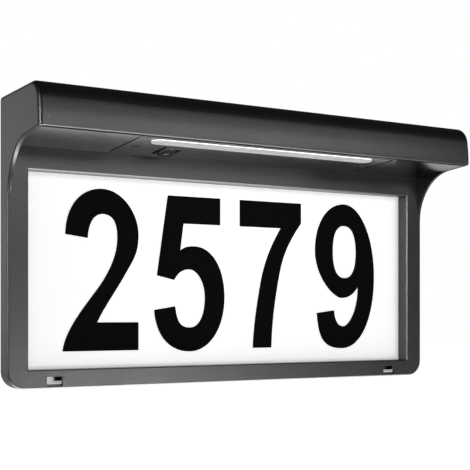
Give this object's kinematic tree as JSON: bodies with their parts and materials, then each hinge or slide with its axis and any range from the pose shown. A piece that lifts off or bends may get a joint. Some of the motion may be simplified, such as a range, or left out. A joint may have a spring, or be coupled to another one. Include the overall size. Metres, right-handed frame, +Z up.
{
  "type": "illuminated house number sign",
  "caption": "Hooded wall sign: white number panel in a black bezel, a light bar and a rocker switch under the hood, a solar panel in its roof, hung on a screwed back plate.",
  "frame": {"origin": "on the wall plane, in the middle of the four wall-screw holes of the back plate, in the middle of the sign's width and 0.5 mm below the middle of its height", "axes": "+X to the right seen from the front, +Y into the wall, +Z up; the sign faces -Y"},
  "size_m": [0.3212, 0.0656, 0.178],
  "materials": {
    "housing_black": "fine spark-eroded texture, satin",
    "plate_white": "smooth, satin white",
    "module_black": "fine texture",
    "switch_black": "semi-gloss",
    "seal_rubber": "matte",
    "lens_milky": "milky diffuser, semi-gloss",
    "reflector_white": "gloss white",
    "led_board_white": "white solder mask on aluminium",
    "led_resin": "phosphor resin",
    "screw_steel": "black-passivated steel",
    "terminal_brass": "bright",
    "cradle_black": "matte",
    "battery_sleeve": "shrink sleeve",
    "contact_nickel": "nickel plated",
    "board_green": "solder mask",
    "component_black": "moulded",
    "lead_jacket": "insulation",
    "solar_backing": "laminate",
    "solar_silicon": "dark blue silicon",
    "solar_clear": "clear resin"
  },
  "bodies": {
    "sign": {"battery_cell": "battery_sleeve", "battery_contacts": "contact_nickel", "battery_cradle": "cradle_black", "battery_lead": "lead_jacket", "control_board": "board_green", "control_parts": "component_black", "front_housing": "housing_black", "lead_grommet": "seal_rubber", "led_board": "led_board_white", "leds": "led_resin", "lens_bar": "lens_milky", "lens_seal": "seal_rubber", "light_lead": "lead_jacket", "module_box": "module_black", "module_plate": "module_black", "module_screws": "screw_steel", "module_seal": "seal_rubber", "number_plate": "plate_white", "panel_lead": "lead_jacket", "panel_seal": "seal_rubber", "reflector": "reflector_white", "solar_board": "solar_backing", "solar_cells": "solar_silicon", "solar_cover": "solar_clear", "switch_body": "switch_black", "switch_lead": "lead_jacket", "switch_terminals": "terminal_brass", "underside_cover": "housing_black"},
    "rocker": {"switch_rocker": "switch_black"}
  },
  "joints": [
    {"name": "switch_rock", "type": "hinge", "parent": "sign", "child": "rocker", "pos_m": [-0.0605, -0.02886, 0.06277], "axis": [1, 0, 0], "range_deg": [0, 20]}
  ]
}
